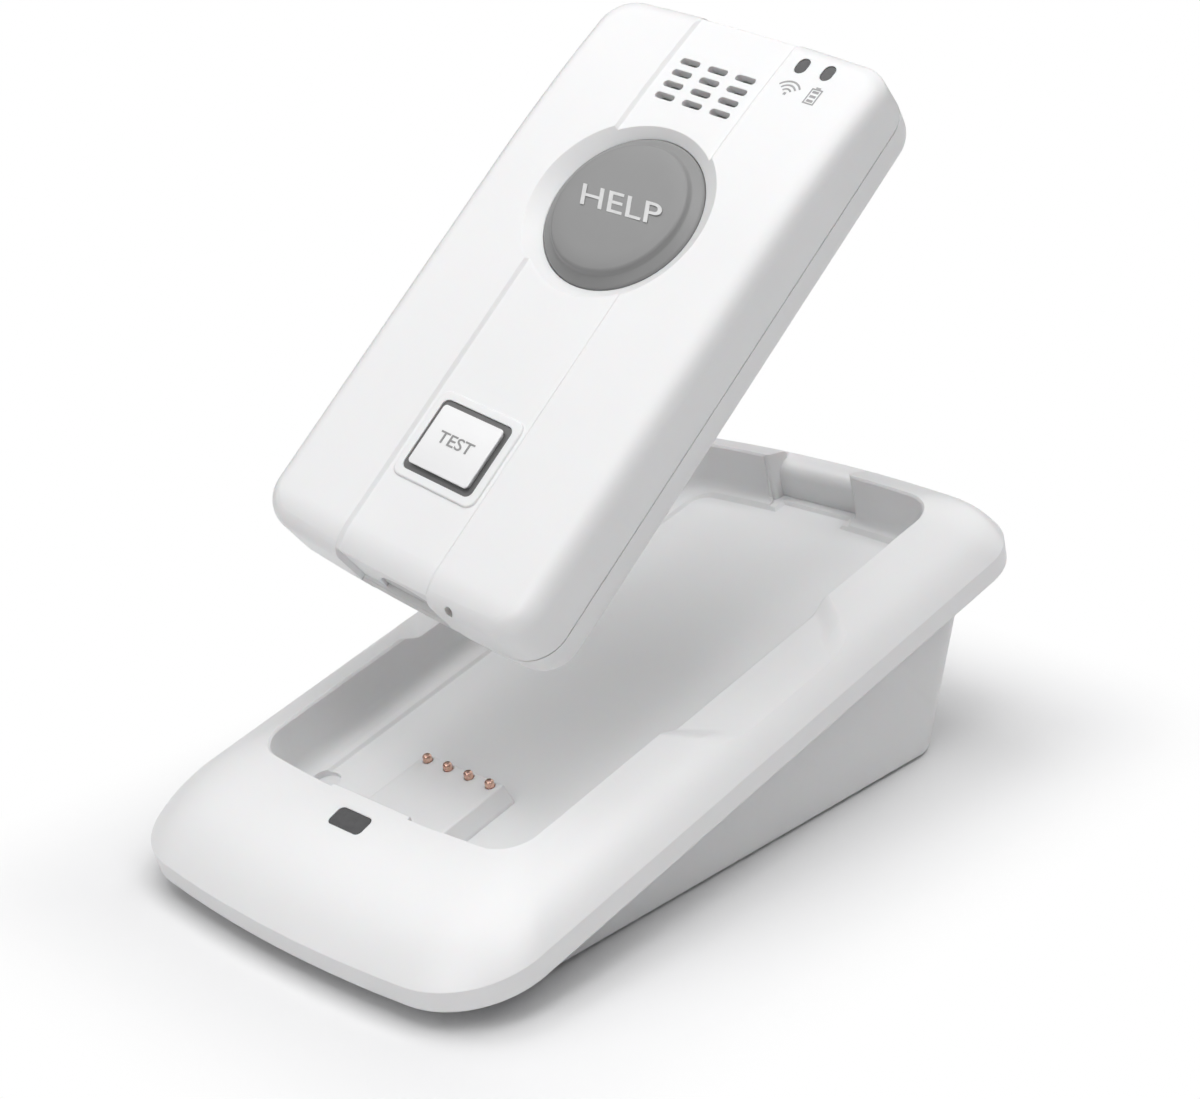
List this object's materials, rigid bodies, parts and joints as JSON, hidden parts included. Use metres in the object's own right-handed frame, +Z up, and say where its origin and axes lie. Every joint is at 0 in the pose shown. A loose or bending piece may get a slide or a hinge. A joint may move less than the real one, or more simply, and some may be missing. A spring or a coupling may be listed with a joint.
{
  "type": "medical alert handset with charging cradle",
  "caption": "White pocket handset with a round help button and a test key, held over a tilted wedge charging cradle with spring contacts and a domed rim.",
  "frame": {"origin": "on the table under the middle of the cradle's outline", "axes": "+Z up, +Y towards the cradle's high rear end, +X to the side on which the handset is swung out"},
  "size_m": [0.0776, 0.1296, 0.1186],
  "materials": {
    "white_gloss": "glossy",
    "white_matte": "satin",
    "foot_rubber": "matte",
    "screw_steel": "satin",
    "inlet_metal": "satin",
    "smoked_window": "glossy",
    "led_body": "satin",
    "board": "satin",
    "black_plastic": "satin",
    "gold_contact": "polished",
    "copper_contact": "polished",
    "battery_wrap": "satin",
    "shield_metal": "satin",
    "switch_dark": "satin",
    "grey_frame": "glossy",
    "speaker_cloth": "matte",
    "grey_button": "satin",
    "white_key": "glossy",
    "grey_cover": "satin"
  },
  "bodies": {
    "cradle": {"cradle_top": "white_gloss", "wedge_base": "white_gloss", "bottom_plate": "white_matte", "rubber_feet": "foot_rubber", "base_screws": "screw_steel", "power_inlet": "inlet_metal", "charge_window": "smoked_window", "charge_led": "led_body", "cradle_board": "board", "board_screws": "screw_steel", "contact_block": "black_plastic", "pin_barrels": "gold_contact"},
    "handset": {"handset_front": "white_gloss", "handset_back": "white_gloss", "handset_board": "board", "battery": "battery_wrap", "radio_module": "shield_metal", "help_switch": "switch_dark", "test_frame": "grey_frame", "test_switch": "switch_dark", "speaker": "black_plastic", "speaker_mesh": "speaker_cloth", "microphone": "shield_metal", "status_window_1": "smoked_window", "status_window_2": "smoked_window", "status_leds": "led_body", "charge_pads": "gold_contact", "port_socket": "inlet_metal", "handset_screws": "screw_steel"},
    "help_button": {"help_button": "grey_button"},
    "test_button": {"test_button": "white_key"},
    "port_cover": {"port_cover": "grey_cover"},
    "contact_pin_1": {"contact_pin_1": "copper_contact"},
    "contact_pin_2": {"contact_pin_2": "copper_contact"},
    "contact_pin_3": {"contact_pin_3": "copper_contact"},
    "contact_pin_4": {"contact_pin_4": "copper_contact"}
  },
  "joints": [
    {"name": "handset_lift", "type": "hinge", "parent": "cradle", "child": "handset", "pos_m": [-0.01572, -0.09535, 0.04788], "axis": [0.9596, 0.2769, -0.0507], "range_deg": [-31.91, 0]},
    {"name": "help_press", "type": "slide", "parent": "handset", "child": "help_button", "axis": [-0.1203, 0.6909, -0.7129], "range_m": [0, 0.0008], "stiffness_N_per_m": 1500, "springref_m": -0.0008},
    {"name": "test_press", "type": "slide", "parent": "handset", "child": "test_button", "axis": [-0.1203, 0.6909, -0.7129], "range_m": [0, 0.0005], "stiffness_N_per_m": 1500, "springref_m": -0.0006},
    {"name": "port_cover_hinge", "type": "hinge", "parent": "handset", "child": "port_cover", "pos_m": [0.00144, -0.03392, 0.04561], "axis": [0.988, 0.0134, -0.1537], "range_deg": [0, 90]},
    {"name": "contact_pin_1_slide", "type": "slide", "parent": "cradle", "child": "contact_pin_1", "axis": [0, -0.2263, 0.9741], "range_m": [-0.0008, 0], "stiffness_N_per_m": 400, "springref_m": 0.0008},
    {"name": "contact_pin_2_slide", "type": "slide", "parent": "cradle", "child": "contact_pin_2", "axis": [0, -0.2263, 0.9741], "range_m": [-0.0008, 0], "stiffness_N_per_m": 400, "springref_m": 0.0008},
    {"name": "contact_pin_3_slide", "type": "slide", "parent": "cradle", "child": "contact_pin_3", "axis": [0, -0.2263, 0.9741], "range_m": [-0.0008, 0], "stiffness_N_per_m": 400, "springref_m": 0.0008},
    {"name": "contact_pin_4_slide", "type": "slide", "parent": "cradle", "child": "contact_pin_4", "axis": [0, -0.2263, 0.9741], "range_m": [-0.0008, 0], "stiffness_N_per_m": 400, "springref_m": 0.0008}
  ]
}
